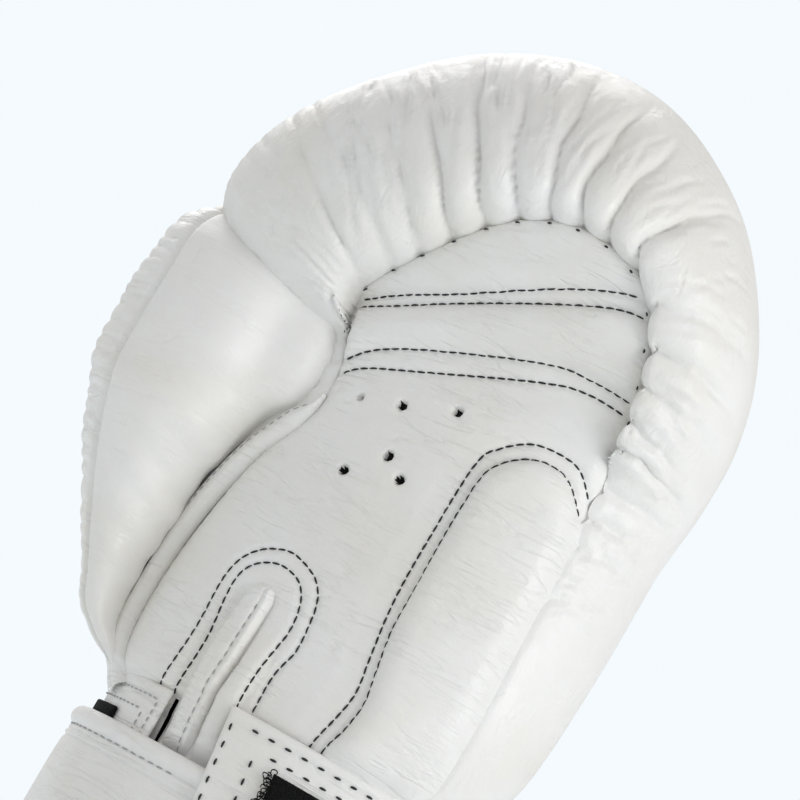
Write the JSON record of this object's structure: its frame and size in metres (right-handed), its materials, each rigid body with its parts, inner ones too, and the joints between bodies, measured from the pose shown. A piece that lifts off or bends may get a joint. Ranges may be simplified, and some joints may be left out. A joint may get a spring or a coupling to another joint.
{
  "type": "boxing glove",
  "caption": "Left-hand padded boxing glove in white leather with an attached thumb, vented palm, grip bar and a hook-and-loop wrist strap.",
  "frame": {"origin": "middle of the cuff's rim, where the glove stands on its cuff", "axes": "+Z along the forearm towards the knuckles, palm towards -Y, thumb towards -X, little finger towards +X"},
  "size_m": [0.188, 0.152, 0.315],
  "materials": {
    "leather_white": "fine-grained, soft satin",
    "foam": "closed-cell foam, matt",
    "grip_foam": "dense foam, matt",
    "lining_cloth": "woven, matt",
    "loop_fabric": "brushed loops, matt",
    "hook_plastic": "moulded hooks, matt",
    "thread_black": "waxed sewing thread",
    "thread_grey": "waxed sewing thread"
  },
  "bodies": {
    "glove": {"fist_shell": "leather_white", "palm_panel": "leather_white", "thumb_welt": "leather_white", "slit_binding": "leather_white", "cuff_band": "leather_white", "rim_binding": "leather_white", "strap_root": "leather_white", "foam_outer": "foam", "foam_inner": "foam", "palm_foam": "foam", "heel_pad": "foam", "cuff_foam": "foam", "grip_bar": "grip_foam", "hand_lining": "lining_cloth", "cuff_lining": "lining_cloth", "loop_tape": "loop_fabric"},
    "thumb": {"thumb_front": "leather_white", "thumb_edge_strip": "leather_white", "thumb_back": "leather_white", "thumb_foam": "foam", "thumb_lining": "lining_cloth"},
    "strap": {"strap_outer": "leather_white", "strap_padding": "foam", "strap_inner": "leather_white", "strap_cord": "leather_white", "hook_patch": "hook_plastic"}
  },
  "joints": [
    {"name": "strap_open", "type": "hinge", "parent": "glove", "child": "strap", "pos_m": [-0.0125, -0.0496, 0.03], "axis": [0, 0, 1], "range_deg": [0, 110]},
    {"name": "thumb_flex", "type": "hinge", "parent": "glove", "child": "thumb", "pos_m": [-0.058, -0.03, 0.082], "axis": [0, -1, 0], "range_deg": [0, 6], "stiffness_Nm_per_rad": 3}
  ]
}
